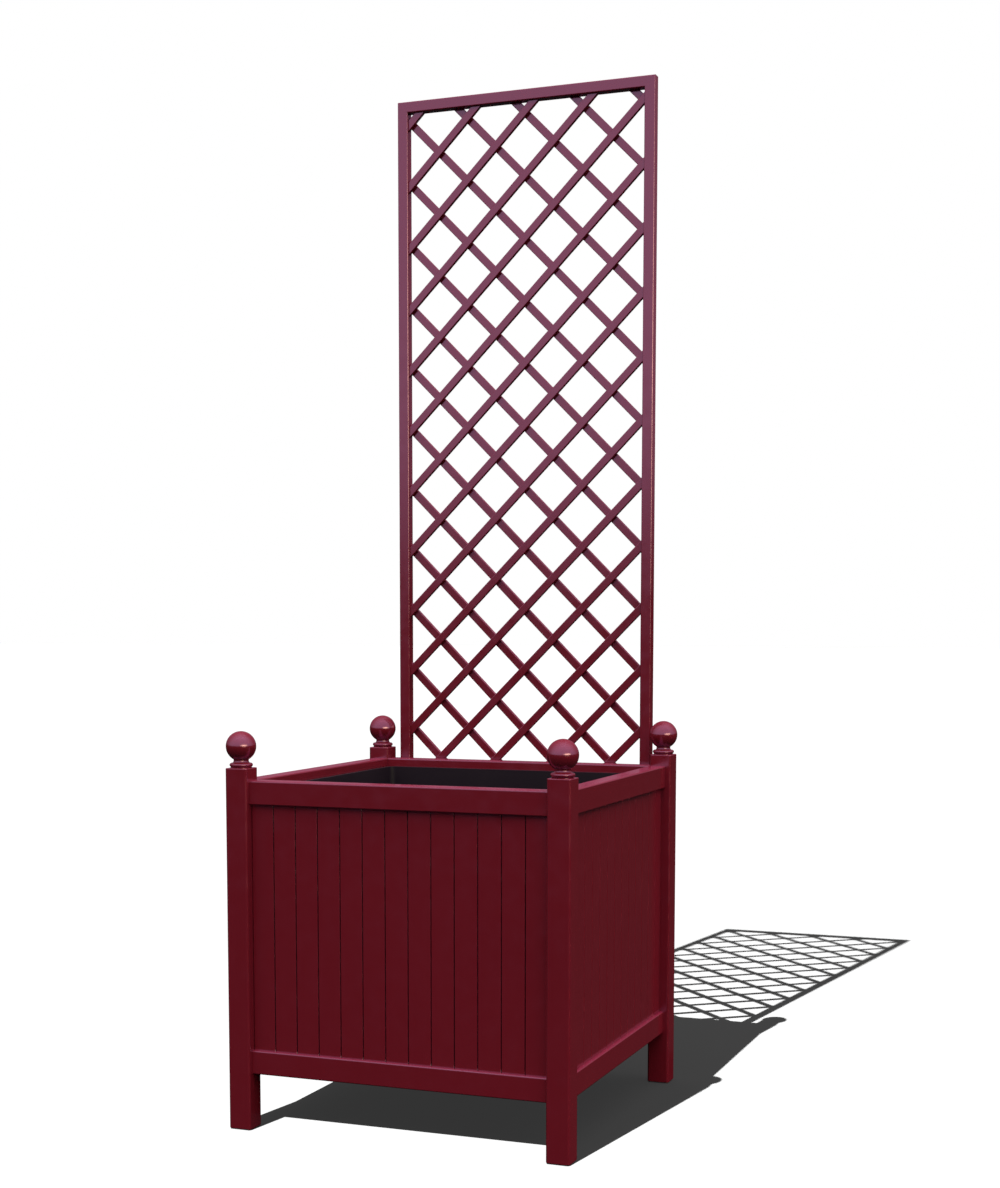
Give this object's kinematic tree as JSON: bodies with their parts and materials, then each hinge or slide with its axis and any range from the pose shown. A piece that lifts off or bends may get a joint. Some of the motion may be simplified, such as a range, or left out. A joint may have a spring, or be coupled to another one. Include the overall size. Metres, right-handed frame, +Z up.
{
  "type": "planter with trellis",
  "caption": "Square garden planter on posts with ball finials, boarded sides, a lift-out liner and a tall framed diagonal trellis fixed to its back.",
  "frame": {"origin": "on the ground, in the middle of the rectangle that planter and trellis cover", "axes": "+Z up, +X to the right seen from the front, the front faces -Y and the trellis stands at +Y"},
  "size_m": [0.61, 0.6233, 1.81],
  "materials": {
    "post_paint": "satin",
    "rail_paint": "satin",
    "board_paint": "satin",
    "finial_paint": "gloss",
    "trellis_paint": "satin",
    "lattice_paint": "satin",
    "black_plastic": "matte",
    "connector_plastic": "matte",
    "bare_aluminium": "satin",
    "steel": "satin"
  },
  "bodies": {
    "planter": {"post_front_left": "post_paint", "post_front_right": "post_paint", "post_back_right": "post_paint", "post_back_left": "post_paint", "foot_plug_front_left": "black_plastic", "foot_plug_front_right": "black_plastic", "foot_plug_back_right": "black_plastic", "foot_plug_back_left": "black_plastic", "post_cap_front_left": "post_paint", "post_cap_front_right": "post_paint", "post_cap_back_right": "post_paint", "post_cap_back_left": "post_paint", "finial_front_left": "finial_paint", "finial_front_right": "finial_paint", "finial_back_right": "finial_paint", "finial_back_left": "finial_paint", "bottom_rail_front": "rail_paint", "bottom_rail_right": "rail_paint", "bottom_rail_back": "rail_paint", "bottom_rail_left": "rail_paint", "top_rail_front": "rail_paint", "top_rail_right": "rail_paint", "top_rail_back": "rail_paint", "top_rail_left": "rail_paint", "boards_front": "board_paint", "boards_right": "board_paint", "boards_back": "board_paint", "boards_left": "board_paint", "rail_connectors_bottom": "connector_plastic", "rail_connectors_top": "connector_plastic", "connector_screws": "steel", "bearer_ledge_front": "bare_aluminium", "bearer_ledge_back": "bare_aluminium", "ledge_rivets": "steel", "liner_bearers": "bare_aluminium", "trellis_stile_left": "trellis_paint", "trellis_stile_right": "trellis_paint", "trellis_top_rail": "trellis_paint", "trellis_bottom_rail": "trellis_paint", "lattice_bars_front": "lattice_paint", "lattice_bars_back": "lattice_paint", "trellis_inserts": "steel", "trellis_spacers": "black_plastic", "trellis_bolts": "steel"},
    "liner": {"liner": "black_plastic"}
  },
  "joints": [
    {"name": "liner_lift", "type": "slide", "parent": "planter", "child": "liner", "axis": [0, 0, 1], "range_m": [0, 0.45]}
  ]
}
